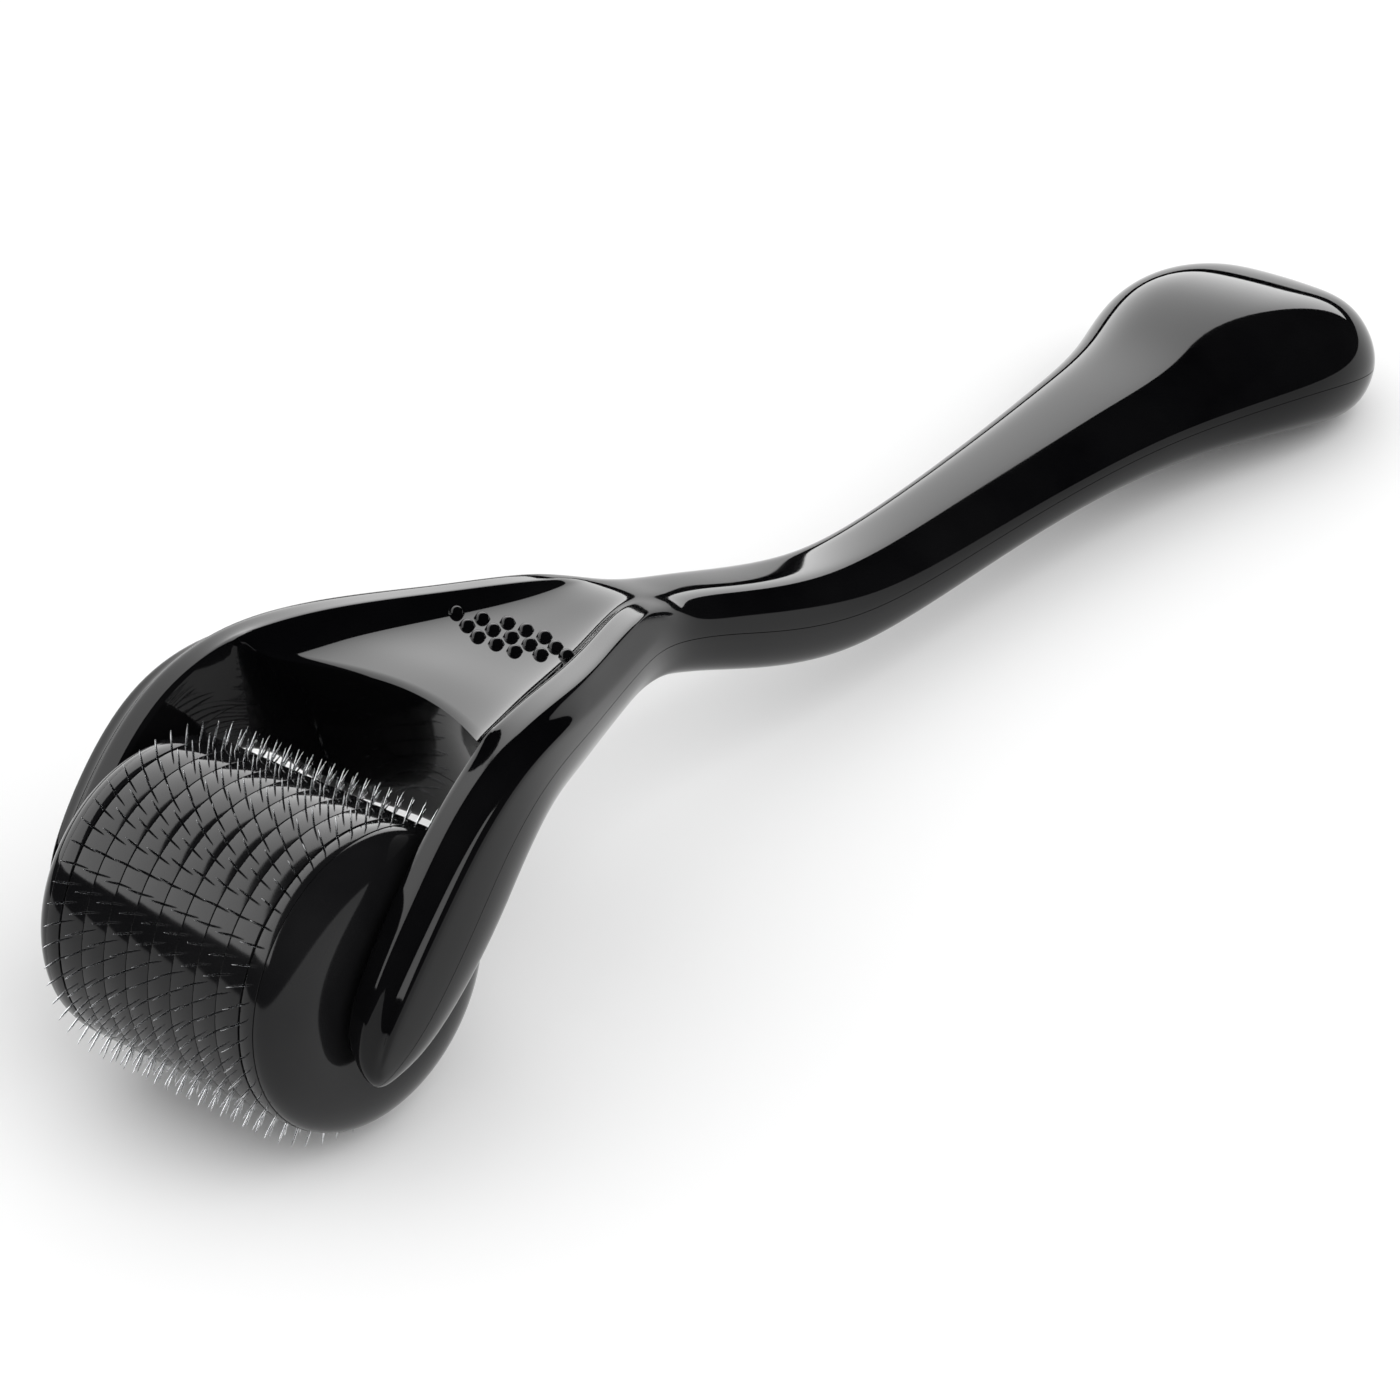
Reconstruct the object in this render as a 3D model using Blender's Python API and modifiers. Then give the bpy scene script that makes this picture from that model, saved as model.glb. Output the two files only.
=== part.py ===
"""Derma roller: a drum of needle discs that spins in the fork of a hollow two-shell handle.

Frame: X along the drum's axis, +Y from the drum to the handle's tail, +Z up.  The origin is at the
bottom centre of the bounding box, so the roller rests on Z = 0 on its lowest needles and its tail.
"""

import math

import bmesh
import bpy
from mathutils import Vector

MM = 0.001
MERGE_DISTANCE = 1e-6
MIRROR_MERGE = 1e-4

# Drum
NEEDLE_DISCS = 9
NEEDLES_PER_DISC = 50
DISC_PITCH = 2.0 * MM
DISC_THICKNESS = 0.2 * MM
DRUM_RADIUS = 10.5 * MM
NEEDLE_LENGTH = 1.5 * MM
NEEDLE_BASE = 0.36 * MM
STACK_GAP = 0.05 * MM
END_RING_WIDTH = 1.1 * MM
RING_SEGMENTS = 50

# End caps and arbor
CAP_RADIUS = 10.4 * MM
CAP_FACE_X = 11.6 * MM
CAP_FACE_RADIUS = 6.0 * MM
CAP_HUB_X = 12.0 * MM
CAP_HUB_RADIUS = 2.8 * MM
CAP_SEGMENTS = 48
CAP_ARC_STEPS = 5
HEX_RADIUS = 4.0 * MM
HEX_GAP = 0.1 * MM
SPIGOT_RADIUS = 2.0 * MM
JOURNAL_RADIUS = 1.2 * MM
JOURNAL_END_X = 13.8 * MM
JOURNAL_CLEARANCE = 0.08 * MM
SHAFT_SEGMENTS = 32

# Handle
SEAM_GAP = 0.15 * MM
WALL = 1.8 * MM
SHELL_LEVELS = 1
REST_TILT = math.radians(1.75)
CAVITY_STATIONS = range(2, 11)
BUMP_COLUMNS = (1, 2, 3, 3, 3, 2, 1)
BUMP_RADIUS = 0.56 * MM
BUMP_HEIGHT = 0.5 * MM
BUMP_PITCH_X = 1.65 * MM
BUMP_PITCH_Y = 1.5 * MM
BUMP_CENTRE_Y = 24.4 * MM
BORE_END_X = 14.2 * MM

# Tool bodies: the blocks that part the shells and trim the foot, and the cavity's section as
# fractions of its half width and of its height or depth.
SEAM_BLOCK_OVERHANG = 8.0
SEAM_BLOCK_HALF_WIDTH = 20.0 * MM
SEAM_BLOCK_TOP = 60.0 * MM
SEAM_BLOCK_LEAN = 30.0 * MM
FOOT_BLOCK_SIZE = 60.0 * MM
CAVITY_SECTION = [
    (0.55, 1.0), (1.0, 0.4), (1.0, -0.4), (0.55, -1.0),
    (-0.55, -1.0), (-1.0, -0.4), (-1.0, 0.4), (-0.55, 1.0),
]
BUMP_SEGMENTS = 8
BUMP_RINGS = 5

# Spine stations of the grip, from the tail to the neck, measured from the drum's axis:
# along Y, up Z, half width, height above the seam, depth below the seam.
GRIP_STATIONS = [
    (121.4, -5.3, 4.8, 2.4, 2.5),
    (119.2, -4.6, 8.3, 4.45, 4.1),
    (114.6, -3.3, 10.7, 5.35, 5.0),
    (108.0, -1.9, 10.5, 5.3, 4.6),
    (100.5, -2.1, 7.5, 3.7, 3.7),
    (92.5, -1.65, 6.1, 3.05, 3.2),
    (84.0, -1.65, 5.15, 2.7, 3.0),
    (75.0, -1.9, 4.5, 2.7, 3.1),
    (66.0, -2.15, 4.15, 2.8, 3.3),
    (58.0, -1.6, 3.95, 3.0, 3.65),
    (50.0, 0.9, 4.0, 2.95, 3.4),
    (43.5, 3.7, 3.85, 2.65, 3.25),
    (38.5, 5.5, 3.85, 2.5, 3.1),
]

# Stations of the head behind the drum: along Y, up Z, half width, rim height above the seam,
# depth of the sides, depth of the middle, half width of the thumb pad, drop of the pad, and how
# far the shoulder outside the rim is raised into a second ridge (0 to 1).
HEAD_STATIONS = [
    (34.6, 6.8, 5.1, 3.05, 3.3, 3.4, 1.9, -0.05, 0.0),
    (30.6, 7.6, 6.8, 3.2, 3.3, 3.8, 3.4, 0.8, 0.0),
    (26.0, 8.3, 8.7, 3.2, 3.4, 4.7, 5.4, 1.2, 0.0),
    (21.0, 9.1, 10.9, 3.35, 3.5, 6.2, 7.3, 1.6, 0.1),
    (16.0, 9.8, 12.9, 3.6, 3.7, 8.2, 8.9, 2.0, 0.55),
    (11.4, 9.7, 14.6, 4.1, 4.0, 10.6, 10.4, 2.1, 0.95),
]
PAD_ARC = 3.9 * MM
UNDERSIDE_ARC_SHARE = 0.65
RIM_WIDTH = 2.2 * MM

# Stations of the fork's arms, down to their tips: along Y, up Z, inner X, outer X, up, down.
ARM_STATIONS = [
    (7.4, 8.0, 12.1, 15.75, 4.8, 4.1),
    (3.7, 4.3, 12.35, 16.1, 5.2, 4.0),
    (0.0, 0.0, 12.35, 15.9, 5.2, 3.2),
    (-2.4, -2.2, 12.4, 15.5, 4.2, 2.6),
    (-4.1, -3.7, 12.6, 14.7, 2.3, 1.8),
]

# Columns of a grip section, from the top middle round the side to the bottom middle:
# fraction of the half width, fraction of the height above or the depth below the seam.
GRIP_COLUMNS = [
    (0.0, 1.04), (0.28, 1.03), (0.5, 1.0), (0.68, 0.9), (0.83, 0.72), (0.95, 0.48), (1.02, 0.24),
    (1.05, 0.0),
    (1.03, -0.3), (0.98, -0.57), (0.88, -0.8), (0.73, -0.95), (0.52, -1.03), (0.27, -1.06), (0.0, -1.07),
]
SIDE_COLUMN = 7
# Columns of the head and the arms whose edges stay crisp, with their crease weights.
CREASES = {2: 0.2, 3: 0.6, 4: 0.4, 6: 0.4}
LIP_CREASE = 0.7
PAD_COLUMNS = 3
TAIL_CAP = (122.1, -5.55)
TAIL_CORNER_SETBACK = 0.35 * MM
ARM_TIP_BULGE = Vector((0.0, -0.55 * MM, -0.5 * MM))
WALL_CORNER = (0.45, -0.6)

# Where the drum's axis lies: the lowest row of needle tips rests on Z = 0, and Y = 0 is half way
# from the two foremost rows of tips to the tail's end.
NEEDLE_TIP_RADIUS = DRUM_RADIUS + NEEDLE_LENGTH
FRONT_REACH = NEEDLE_TIP_RADIUS * math.cos(math.pi / NEEDLES_PER_DISC)
TAIL_END_Y = 121.97 * MM
AXIS = Vector((0.0, (FRONT_REACH - TAIL_END_Y) / 2, NEEDLE_TIP_RADIUS))


def clear_scene():
    """Start from an empty scene."""
    for item in list(bpy.data.objects):
        bpy.data.objects.remove(item, do_unlink=True)


def make_collection(name):
    collection = bpy.data.collections.new(name)
    bpy.context.scene.collection.children.link(collection)
    return collection


def make_material(name, colour, roughness, metallic):
    material = bpy.data.materials.new(name)
    material.use_nodes = True
    shader = material.node_tree.nodes["Principled BSDF"]
    shader.inputs["Base Color"].default_value = (*colour, 1.0)
    shader.inputs["Roughness"].default_value = roughness
    shader.inputs["Metallic"].default_value = metallic
    return material


def make_object(name, mesh, collection, material=None, parent=None):
    item = bpy.data.objects.new(name, mesh)
    collection.objects.link(item)
    item.parent = parent
    if material:
        mesh.materials.clear()
        mesh.materials.append(material)
    return item


def make_empty(name, collection, location):
    empty = bpy.data.objects.new(name, None)
    empty.location = location
    collection.objects.link(empty)
    return empty


def mark_as_cutter(item):
    item.hide_render = True
    item.display_type = "WIRE"


def mesh_from_bmesh(name, form):
    bmesh.ops.recalc_face_normals(form, faces=form.faces)
    if form.calc_volume(signed=True) < 0:
        bmesh.ops.reverse_faces(form, faces=form.faces)
    mesh = bpy.data.meshes.new(name)
    form.to_mesh(mesh)
    form.free()
    return mesh


def shade_round(mesh, angle=math.radians(35)):
    mesh.shade_smooth()
    mesh.set_sharp_from_angle(angle=angle)


def add_boolean(item, cutter, operation):
    modifier = item.modifiers.new(cutter.name, "BOOLEAN")
    modifier.operation = operation
    modifier.object = cutter
    modifier.solver = "EXACT"


def circle_points(radius, count, phase=0.0):
    step = 2 * math.pi / count
    angles = [phase + i * step for i in range(count)]
    return [(radius * math.cos(angle), radius * math.sin(angle)) for angle in angles]


def extruded_plate(name, outline, hole, thickness):
    """A flat plate with a hole, drawn as a curve in XY and turned to stand across the X axis."""
    curve = bpy.data.curves.new(name, "CURVE")
    curve.dimensions = "2D"
    curve.fill_mode = "BOTH"
    curve.extrude = thickness / 2
    for points in (outline, hole):
        spline = curve.splines.new("POLY")
        spline.points.add(len(points) - 1)
        spline.use_cyclic_u = True
        for point, (across, up) in zip(spline.points, points):
            point.co = (across, up, 0.0, 1.0)
    drawn = bpy.data.objects.new(name, curve)
    bpy.context.scene.collection.objects.link(drawn)
    bpy.context.view_layer.update()
    graph = bpy.context.evaluated_depsgraph_get()
    mesh = bpy.data.meshes.new_from_object(drawn.evaluated_get(graph))
    bpy.data.objects.remove(drawn)
    bpy.data.curves.remove(curve)
    form = bmesh.new()
    form.from_mesh(mesh)
    bpy.data.meshes.remove(mesh)
    bmesh.ops.remove_doubles(form, verts=form.verts, dist=MERGE_DISTANCE)
    for vert in form.verts:
        vert.co = Vector((vert.co.z, vert.co.x, vert.co.y))
    return mesh_from_bmesh(name, form)


def needle_outline():
    """The toothed outline of one disc: each needle is a slender triangle on the rim."""
    points = []
    pitch = 2 * math.pi / NEEDLES_PER_DISC
    half_base = NEEDLE_BASE / 2 / DRUM_RADIUS
    for i in range(NEEDLES_PER_DISC):
        angle = (i + 0.5) * pitch
        for turn, radius in ((-half_base, DRUM_RADIUS), (0.0, NEEDLE_TIP_RADIUS), (half_base, DRUM_RADIUS)):
            points.append((radius * math.cos(angle + turn), radius * math.sin(angle + turn)))
    return points


def make_discs(collection, steel, spin):
    mesh = extruded_plate(
        "needle_disc", needle_outline(), circle_points(HEX_RADIUS + HEX_GAP, 6), DISC_THICKNESS
    )
    for i in range(NEEDLE_DISCS):
        disc = make_object(f"needle_disc_{i + 1}", mesh, collection, steel, spin)
        disc.location.x = (i - (NEEDLE_DISCS - 1) / 2) * DISC_PITCH


def ring_mesh(name, width):
    outline = circle_points(DRUM_RADIUS, RING_SEGMENTS, math.pi / RING_SEGMENTS)
    mesh = extruded_plate(name, outline, circle_points(HEX_RADIUS + HEX_GAP, 6), width)
    shade_round(mesh)
    return mesh


def make_spacers(collection, plastic, spin):
    mesh = ring_mesh("spacer_ring", DISC_PITCH - DISC_THICKNESS - 2 * STACK_GAP)
    for i in range(NEEDLE_DISCS - 1):
        spacer = make_object(f"spacer_ring_{i + 1}", mesh, collection, plastic, spin)
        spacer.location.x = (i - (NEEDLE_DISCS - 2) / 2) * DISC_PITCH


def stack_half_width():
    return (NEEDLE_DISCS - 1) / 2 * DISC_PITCH + DISC_THICKNESS / 2 + STACK_GAP + END_RING_WIDTH


def make_end_rings(collection, plastic, spin):
    mesh = ring_mesh("end_ring", END_RING_WIDTH)
    for side, name in ((-1, "end_ring_left"), (1, "end_ring_right")):
        ring = make_object(name, mesh, collection, plastic, spin)
        ring.location.x = side * (stack_half_width() - END_RING_WIDTH / 2)


def cap_profile():
    """Half section of an end cap: (radius, distance along the axis), outer side first."""
    inner_x = stack_half_width() + STACK_GAP
    arc_width = CAP_FACE_X - inner_x
    arc_height = CAP_RADIUS - CAP_FACE_RADIUS
    profile = []
    for i in range(CAP_ARC_STEPS + 1):
        angle = math.pi / 2 * i / CAP_ARC_STEPS
        radius = CAP_FACE_RADIUS + arc_height * math.cos(angle)
        profile.append((radius, inner_x + arc_width * math.sin(angle)))
    profile.append((CAP_HUB_RADIUS, CAP_FACE_X))
    profile.append((CAP_HUB_RADIUS, CAP_HUB_X))
    profile.append((SPIGOT_RADIUS + STACK_GAP, CAP_HUB_X))
    profile.append((SPIGOT_RADIUS + STACK_GAP, inner_x))
    return profile


def turned_mesh(name, profile, segments):
    """Turn a closed half section about X: a Screw about Z, then the shape is laid along X."""
    form = bmesh.new()
    verts = [form.verts.new((radius, 0.0, along)) for radius, along in profile]
    for i, vert in enumerate(verts):
        form.edges.new((vert, verts[(i + 1) % len(verts)]))
    mesh = bpy.data.meshes.new(name + "_section")
    form.to_mesh(mesh)
    form.free()
    section = bpy.data.objects.new(name, mesh)
    bpy.context.scene.collection.objects.link(section)
    screw = section.modifiers.new("Turn", "SCREW")
    screw.steps = segments
    screw.render_steps = segments
    screw.use_merge_vertices = True
    screw.merge_threshold = MERGE_DISTANCE
    bpy.context.view_layer.update()
    graph = bpy.context.evaluated_depsgraph_get()
    turned = bpy.data.meshes.new_from_object(section.evaluated_get(graph))
    bpy.data.objects.remove(section)
    bpy.data.meshes.remove(mesh)
    form = bmesh.new()
    form.from_mesh(turned)
    bpy.data.meshes.remove(turned)
    for vert in form.verts:
        vert.co = Vector((vert.co.z, vert.co.x, vert.co.y))
    return mesh_from_bmesh(name, form)


def make_end_caps(collection, plastic, spin):
    mesh = turned_mesh("end_cap", cap_profile(), CAP_SEGMENTS)
    shade_round(mesh)
    for turn, name in ((math.pi, "end_cap_left"), (0.0, "end_cap_right")):
        cap = make_object(name, mesh, collection, plastic, spin)
        cap.rotation_euler.z = turn


def add_cylinder(form, radius, low_x, high_x, segments):
    made = bmesh.ops.create_cone(
        form, cap_ends=True, segments=segments, radius1=radius, radius2=radius, depth=high_x - low_x
    )
    for vert in made["verts"]:
        vert.co = Vector((vert.co.z + (low_x + high_x) / 2, vert.co.x, vert.co.y))


def cylinder_object(name, radius, low_x, high_x, segments, collection, parent):
    form = bmesh.new()
    add_cylinder(form, radius, low_x, high_x, segments)
    item = make_object(name, mesh_from_bmesh(name, form), collection, parent=parent)
    mark_as_cutter(item)
    return item


def make_arbor(collection, cutters, plastic, spin):
    """The hexagonal arbor that carries the stack, with a spigot and a journal at each end."""
    form = bmesh.new()
    half = stack_half_width()
    add_cylinder(form, HEX_RADIUS, -half, half, 6)
    # The hexagon's corners point along Y, as the discs' holes do.
    for vert in form.verts:
        vert.co = Vector((vert.co.x, vert.co.z, -vert.co.y))
    arbor = make_object("drum_arbor", mesh_from_bmesh("drum_arbor", form), collection, plastic, spin)
    spigot = cylinder_object(
        "spigot_form", SPIGOT_RADIUS, -CAP_HUB_X, CAP_HUB_X, SHAFT_SEGMENTS, cutters, spin
    )
    journal = cylinder_object(
        "journal_form", JOURNAL_RADIUS, -JOURNAL_END_X, JOURNAL_END_X, SHAFT_SEGMENTS, cutters, spin
    )
    add_boolean(arbor, spigot, "UNION")
    add_boolean(arbor, journal, "UNION")


def spine_normals(points):
    """Unit normals, pointing up, of a chain of (y, z) points that runs towards the drum."""
    normals = []
    for i in range(len(points)):
        before = Vector(points[max(i - 1, 0)])
        after = Vector(points[min(i + 1, len(points) - 1)])
        along = (before - after).normalized()
        normals.append(Vector((-along.y, along.x)))
    return normals


def head_columns(half_width, rim, side_depth, middle_depth, pad, drop, shoulder):
    """A head section's (x, height) columns, in the order of GRIP_COLUMNS."""
    rim_inner = pad + 0.55
    rim_outer = min(rim_inner + RIM_WIDTH / MM, half_width - 0.9)
    return [
        (0.0, rim - drop), (0.55 * pad, rim - drop), (0.94 * pad, rim - 0.82 * drop),
        (rim_inner, rim), (rim_outer, rim - 0.05),
        (half_width - 0.55 - 0.3 * shoulder, rim - 0.95 - 0.15 * shoulder),
        (half_width - 0.05, rim - 2.1 + 1.1 * shoulder),
        (half_width, 0.0),
        (half_width - 0.25, -0.45 * side_depth), (half_width - 0.9, -0.85 * side_depth),
        (rim_outer - 0.3, -side_depth), (rim_inner, -0.45 * side_depth - 0.55 * middle_depth),
        (0.8 * pad, -middle_depth), (0.4 * pad, -middle_depth), (0.0, -middle_depth),
    ]


def arm_columns(inner, outer, up, down):
    """An arm section's columns from the rim's inner edge round to the inner face's middle."""
    width = outer - inner
    return [
        (inner, up - 0.15), (inner + 0.52 * width, up), (inner + 0.68 * width, up - 1.05),
        (outer + 0.05, up - 0.85),
        (outer - 0.15, 0.0),
        (outer - 0.65, -0.5 * down), (outer - 1.25, -0.85 * down), (inner + 0.45 * width, -down),
        (inner + 0.1, -0.95 * down),
        (inner, 0.0),
    ]


def body_cage():
    """The right half (x >= 0) of the handle's control cage, open on the symmetry plane."""
    form = bmesh.new()
    stations = GRIP_STATIONS + HEAD_STATIONS + ARM_STATIONS
    points = [(station[0], station[1]) for station in stations]
    normals = spine_normals(points)

    def place(index, across, height, back=0.0):
        centre = Vector(points[index]) + normals[index] * height + Vector((back, 0.0))
        return form.verts.new((across * MM, centre.x * MM, centre.y * MM))

    rings = []
    for index, (_, _, width, up, down) in enumerate(GRIP_STATIONS):
        rings.append([
            place(index, across * width, height * (up if height > 0 else down))
            for across, height in GRIP_COLUMNS
        ])
    first_head = len(GRIP_STATIONS)
    for offset, (_, _, *section) in enumerate(HEAD_STATIONS):
        index = first_head + offset
        columns = head_columns(*section)
        share = max(0, offset - (len(HEAD_STATIONS) - 3)) / 2
        arc = PAD_ARC / MM * share
        ring = []
        for number, (across, height) in enumerate(columns):
            inside = number < PAD_COLUMNS or number >= len(columns) - PAD_COLUMNS
            reach = arc if number < PAD_COLUMNS else arc * UNDERSIDE_ARC_SHARE
            back = reach * (1 - (across / section[4]) ** 2) if inside else 0.0
            ring.append(place(index, across, height, back))
        rings.append(ring)
    for near, far in zip(rings, rings[1:]):
        for j in range(len(near) - 1):
            form.faces.new((near[j], near[j + 1], far[j + 1], far[j]))

    # Tail end: the section closed across, with a middle row on the seam.
    tail = rings[0]
    last = len(tail) - 1
    middle = [
        form.verts.new((tail[j].co.x, TAIL_CAP[0] * MM, TAIL_CAP[1] * MM)) for j in range(SIDE_COLUMN - 1)
    ]
    for vert in middle:
        vert.co.y -= TAIL_CORNER_SETBACK * (vert.co.x / tail[SIDE_COLUMN].co.x) ** 2
    middle.append(tail[SIDE_COLUMN])
    for j in range(SIDE_COLUMN - 1):
        if j == SIDE_COLUMN - 2:
            form.faces.new((tail[j], middle[j], tail[SIDE_COLUMN], tail[j + 1]))
            form.faces.new((tail[last - j], tail[last - j - 1], tail[SIDE_COLUMN], middle[j]))
        else:
            form.faces.new((tail[j], middle[j], middle[j + 1], tail[j + 1]))
            form.faces.new((tail[last - j], tail[last - j - 1], middle[j + 1], middle[j]))

    # Arms: closed rings, from the head's last section to the tips.
    front = rings[-1]
    front_index = first_head + len(HEAD_STATIONS) - 1
    wall_inner = place(front_index, HEAD_STATIONS[-1][6] + WALL_CORNER[0], WALL_CORNER[1])
    arm = front[PAD_COLUMNS:len(front) - PAD_COLUMNS] + [wall_inner]
    arm_rings = [arm]
    for offset, (_, _, *section) in enumerate(ARM_STATIONS):
        index = front_index + 1 + offset
        arm_rings.append([place(index, across, height) for across, height in arm_columns(*section)])
    for near, far in zip(arm_rings, arm_rings[1:]):
        for j in range(len(near)):
            following = (j + 1) % len(near)
            form.faces.new((near[j], near[following], far[following], far[j]))
    tip = arm_rings[-1]
    tip_inner = tip[9]
    tip_outer = tip[4]
    step = (tip_outer.co - tip_inner.co) / 3
    first = form.verts.new(tip_inner.co + step + ARM_TIP_BULGE)
    second = form.verts.new(tip_inner.co + step * 2 + ARM_TIP_BULGE)
    form.faces.new((tip[0], tip[1], first, tip_inner))
    form.faces.new((tip[1], tip[2], second, first))
    form.faces.new((tip[2], tip[3], tip_outer, second))
    form.faces.new((tip_inner, first, tip[7], tip[8]))
    form.faces.new((first, second, tip[6], tip[7]))
    form.faces.new((second, tip_outer, tip[5], tip[6]))

    # The wall behind the drum, between the pad's front edge and the underside.
    wall = []
    for j in range(PAD_COLUMNS):
        top = front[j].co
        bottom = front[len(front) - 1 - j].co
        vert = form.verts.new((top + bottom) / 2)
        vert.co.x = top.x
        wall.append(vert)
    wall.append(wall_inner)
    for j in range(PAD_COLUMNS):
        form.faces.new((front[j], front[j + 1], wall[j + 1], wall[j]))
        form.faces.new((front[len(front) - 1 - j], wall[j], wall[j + 1], front[len(front) - 2 - j]))

    crease = form.edges.layers.float.new("crease_edge")
    for column, weight in CREASES.items():
        for near, far in zip(rings[first_head:], rings[first_head + 1:]):
            form.edges.get((near[column], far[column]))[crease] = weight
        if column >= PAD_COLUMNS:
            for near, far in zip(arm_rings, arm_rings[1:]):
                edge = form.edges.get((near[column - PAD_COLUMNS], far[column - PAD_COLUMNS]))
                edge[crease] = weight
    for j in range(PAD_COLUMNS):
        form.edges.get((front[j], front[j + 1]))[crease] = LIP_CREASE
    return mesh_from_bmesh("handle_cage", form)


def add_mirror_and_subdivision(item, levels):
    mirror = item.modifiers.new("Mirror", "MIRROR")
    mirror.merge_threshold = MIRROR_MERGE
    mirror.use_clip = True
    subdivision = item.modifiers.new("Subdivision", "SUBSURF")
    subdivision.levels = levels
    subdivision.render_levels = levels


def seam_block(name, lift, collection, parent):
    """A block that fills the space above the seam, raised by lift."""
    stations = GRIP_STATIONS + HEAD_STATIONS + ARM_STATIONS
    chain = [Vector((station[0], station[1])) for station in stations]
    chain.insert(0, chain[0] + (chain[0] - chain[1]).normalized() * SEAM_BLOCK_OVERHANG)
    chain.append(chain[-1] + (chain[-1] - chain[-2]).normalized() * SEAM_BLOCK_OVERHANG)
    outline = [(point.x * MM, point.y * MM + lift) for point in chain]
    # Over the arms the seam dips forwards, so the block leans out over it.
    outline.append((outline[-1][0] - SEAM_BLOCK_LEAN, outline[-1][1]))
    outline.append((outline[-1][0], SEAM_BLOCK_TOP))
    outline.append((outline[0][0], SEAM_BLOCK_TOP))
    form = bmesh.new()
    face = form.faces.new([form.verts.new((-SEAM_BLOCK_HALF_WIDTH, y, z)) for y, z in outline])
    made = bmesh.ops.extrude_face_region(form, geom=[face])
    moved = [item for item in made["geom"] if isinstance(item, bmesh.types.BMVert)]
    bmesh.ops.translate(form, verts=moved, vec=(2 * SEAM_BLOCK_HALF_WIDTH, 0.0, 0.0))
    bmesh.ops.triangulate(form, faces=form.faces)
    item = make_object(name, mesh_from_bmesh(name, form), collection, parent=parent)
    mark_as_cutter(item)
    return item


def cavity_form(collection, parent):
    """The hollow inside the grip: a loft of eight-sided sections, one wall inside its stations."""
    stations = GRIP_STATIONS + HEAD_STATIONS
    points = [(station[0], station[1]) for station in stations]
    normals = spine_normals(points)
    form = bmesh.new()
    rings = []
    for index in CAVITY_STATIONS:
        width = stations[index][2] * MM - WALL
        up = stations[index][3] * MM - WALL
        down = stations[index][4] * MM - WALL
        ring = []
        for across, height in CAVITY_SECTION:
            lift = height * (up if height > 0 else down)
            centre = Vector(points[index]) * MM + normals[index] * lift
            ring.append(form.verts.new((across * width, centre.x, centre.y)))
        rings.append(ring)
    for near, far in zip(rings, rings[1:]):
        for j in range(len(near)):
            following = (j + 1) % len(near)
            form.faces.new((near[j], near[following], far[following], far[j]))
    form.faces.new(rings[0])
    form.faces.new(list(reversed(rings[-1])))
    bmesh.ops.triangulate(form, faces=form.faces)
    item = make_object("grip_cavity", mesh_from_bmesh("grip_cavity", form), collection, parent=parent)
    mark_as_cutter(item)
    return item


def pad_height(y):
    """Height of the thumb pad's middle at a distance y from the drum's axis."""
    stations = GRIP_STATIONS + HEAD_STATIONS
    points = [(station[0], station[1]) for station in stations]
    normals = spine_normals(points)
    middle = []
    for index in range(len(GRIP_STATIONS), len(stations)):
        rim, drop = stations[index][3], stations[index][7]
        middle.append((Vector(points[index]) + normals[index] * (rim - drop)) * MM)
    for far, near in zip(middle, middle[1:]):
        if near.x <= y <= far.x:
            share = (y - near.x) / (far.x - near.x)
            return near.y + share * (far.y - near.y)
    return middle[0].y


def bump_form(collection, parent):
    """The grip bumps: low domes in columns on the thumb pad, sunk half way into it."""
    form = bmesh.new()
    for column, count in enumerate(BUMP_COLUMNS):
        x = (column - (len(BUMP_COLUMNS) - 1) / 2) * BUMP_PITCH_X
        for row in range(count):
            y = BUMP_CENTRE_Y + (row - (count - 1) / 2) * BUMP_PITCH_Y
            made = bmesh.ops.create_uvsphere(
                form, u_segments=BUMP_SEGMENTS, v_segments=BUMP_RINGS, radius=BUMP_RADIUS
            )
            for vert in made["verts"]:
                vert.co.z *= BUMP_HEIGHT / BUMP_RADIUS
                vert.co += Vector((x, y, pad_height(y)))
    item = make_object("bump_form", mesh_from_bmesh("bump_form", form), collection, parent=parent)
    mark_as_cutter(item)
    return item


def foot_block(collection):
    """A block below the table plane, which trims the tail's underside to a small flat foot."""
    form = bmesh.new()
    bmesh.ops.create_cube(form, size=FOOT_BLOCK_SIZE)
    bmesh.ops.translate(form, verts=form.verts, vec=(0.0, -AXIS.y, -FOOT_BLOCK_SIZE / 2))
    item = make_object("foot_block", mesh_from_bmesh("foot_block", form), collection)
    mark_as_cutter(item)
    return item


def make_handle(collection, cutters, plastic, base):
    cage = body_cage()
    cavity = cavity_form(cutters, base)
    bumps = bump_form(cutters, base)
    foot = foot_block(cutters)
    bore = cylinder_object(
        "journal_bore", JOURNAL_RADIUS + JOURNAL_CLEARANCE, -BORE_END_X, BORE_END_X,
        SHAFT_SEGMENTS, cutters, base,
    )
    above = seam_block("space_above_seam", SEAM_GAP / 2, cutters, base)
    above_low = seam_block("space_above_lower_seam", -SEAM_GAP / 2, cutters, base)
    top = make_object("handle_top_shell", cage, collection, plastic, base)
    add_mirror_and_subdivision(top, SHELL_LEVELS)
    add_boolean(top, bore, "DIFFERENCE")
    add_boolean(top, cavity, "DIFFERENCE")
    add_boolean(top, above, "INTERSECT")
    add_boolean(top, bumps, "UNION")
    bottom = make_object("handle_bottom_shell", cage, collection, plastic, base)
    add_mirror_and_subdivision(bottom, SHELL_LEVELS)
    add_boolean(bottom, bore, "DIFFERENCE")
    add_boolean(bottom, cavity, "DIFFERENCE")
    add_boolean(bottom, above_low, "DIFFERENCE")
    add_boolean(bottom, foot, "DIFFERENCE")


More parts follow.
